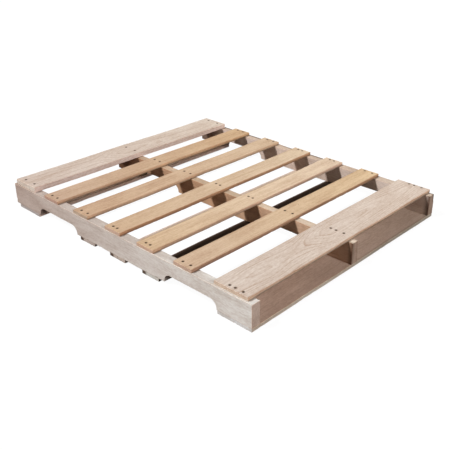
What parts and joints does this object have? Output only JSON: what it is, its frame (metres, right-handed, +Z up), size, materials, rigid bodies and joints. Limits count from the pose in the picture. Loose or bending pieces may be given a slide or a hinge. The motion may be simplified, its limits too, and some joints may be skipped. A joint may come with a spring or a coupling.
{
  "type": "wooden pallet",
  "caption": "Notched stringer pallet with a slatted top deck nailed to upright rails over a slatted base, open to forks at both ends and at notches in both sides.",
  "frame": {"origin": "on the floor plane under the middle of the pallet's length and width", "axes": "+Z up from the floor, Y along the stringers with -Y at the end whose lead boards are wider, X along the deck boards"},
  "size_m": [1.016, 1.2192, 0.1125],
  "materials": {
    "stringer_wood": "rough sawn, pale grey-pink, unsealed",
    "lead_wood": "rough planed, pale pink-beige, unsealed",
    "deck_wood": "rough planed, warm tan, unsealed",
    "base_wood": "rough sawn, dull beige-brown, unsealed",
    "nail_steel": "bright steel dulled by brown oxide"
  },
  "bodies": {
    "root": {"base_board_1": "base_wood", "base_board_2": "base_wood", "base_board_3": "base_wood", "base_lead_front": "base_wood", "base_lead_rear": "base_wood", "deck_board_1": "deck_wood", "deck_board_2": "deck_wood", "deck_board_3": "deck_wood", "deck_board_4": "deck_wood", "deck_board_5": "deck_wood", "deck_lead_front": "lead_wood", "deck_lead_rear": "lead_wood", "nail_deck_board_1_centre_1": "nail_steel", "nail_deck_board_1_centre_2": "nail_steel", "nail_deck_board_1_left_1": "nail_steel", "nail_deck_board_1_left_2": "nail_steel", "nail_deck_board_1_right_1": "nail_steel", "nail_deck_board_1_right_2": "nail_steel", "nail_deck_board_2_centre_1": "nail_steel", "nail_deck_board_2_centre_2": "nail_steel", "nail_deck_board_2_left_1": "nail_steel", "nail_deck_board_2_left_2": "nail_steel", "nail_deck_board_2_right_1": "nail_steel", "nail_deck_board_2_right_2": "nail_steel", "nail_deck_board_3_centre_1": "nail_steel", "nail_deck_board_3_centre_2": "nail_steel", "nail_deck_board_3_left_1": "nail_steel", "nail_deck_board_3_left_2": "nail_steel", "nail_deck_board_3_right_1": "nail_steel", "nail_deck_board_3_right_2": "nail_steel", "nail_deck_board_4_centre_1": "nail_steel", "nail_deck_board_4_centre_2": "nail_steel", "nail_deck_board_4_left_1": "nail_steel", "nail_deck_board_4_left_2": "nail_steel", "nail_deck_board_4_right_1": "nail_steel", "nail_deck_board_4_right_2": "nail_steel", "nail_deck_board_5_centre_1": "nail_steel", "nail_deck_board_5_centre_2": "nail_steel", "nail_deck_board_5_left_1": "nail_steel", "nail_deck_board_5_left_2": "nail_steel", "nail_deck_board_5_right_1": "nail_steel", "nail_deck_board_5_right_2": "nail_steel", "nail_deck_lead_front_centre_1": "nail_steel", "nail_deck_lead_front_centre_2": "nail_steel", "nail_deck_lead_front_centre_3": "nail_steel", "nail_deck_lead_front_left_1": "nail_steel", "nail_deck_lead_front_left_2": "nail_steel", "nail_deck_lead_front_left_3": "nail_steel", "nail_deck_lead_front_right_1": "nail_steel", "nail_deck_lead_front_right_2": "nail_steel", "nail_deck_lead_front_right_3": "nail_steel", "nail_deck_lead_rear_centre_1": "nail_steel", "nail_deck_lead_rear_centre_2": "nail_steel", "nail_deck_lead_rear_left_1": "nail_steel", "nail_deck_lead_rear_left_2": "nail_steel", "nail_deck_lead_rear_right_1": "nail_steel", "nail_deck_lead_rear_right_2": "nail_steel", "stringer_centre": "stringer_wood", "stringer_left": "stringer_wood", "stringer_right": "stringer_wood"}
  },
  "joints": []
}
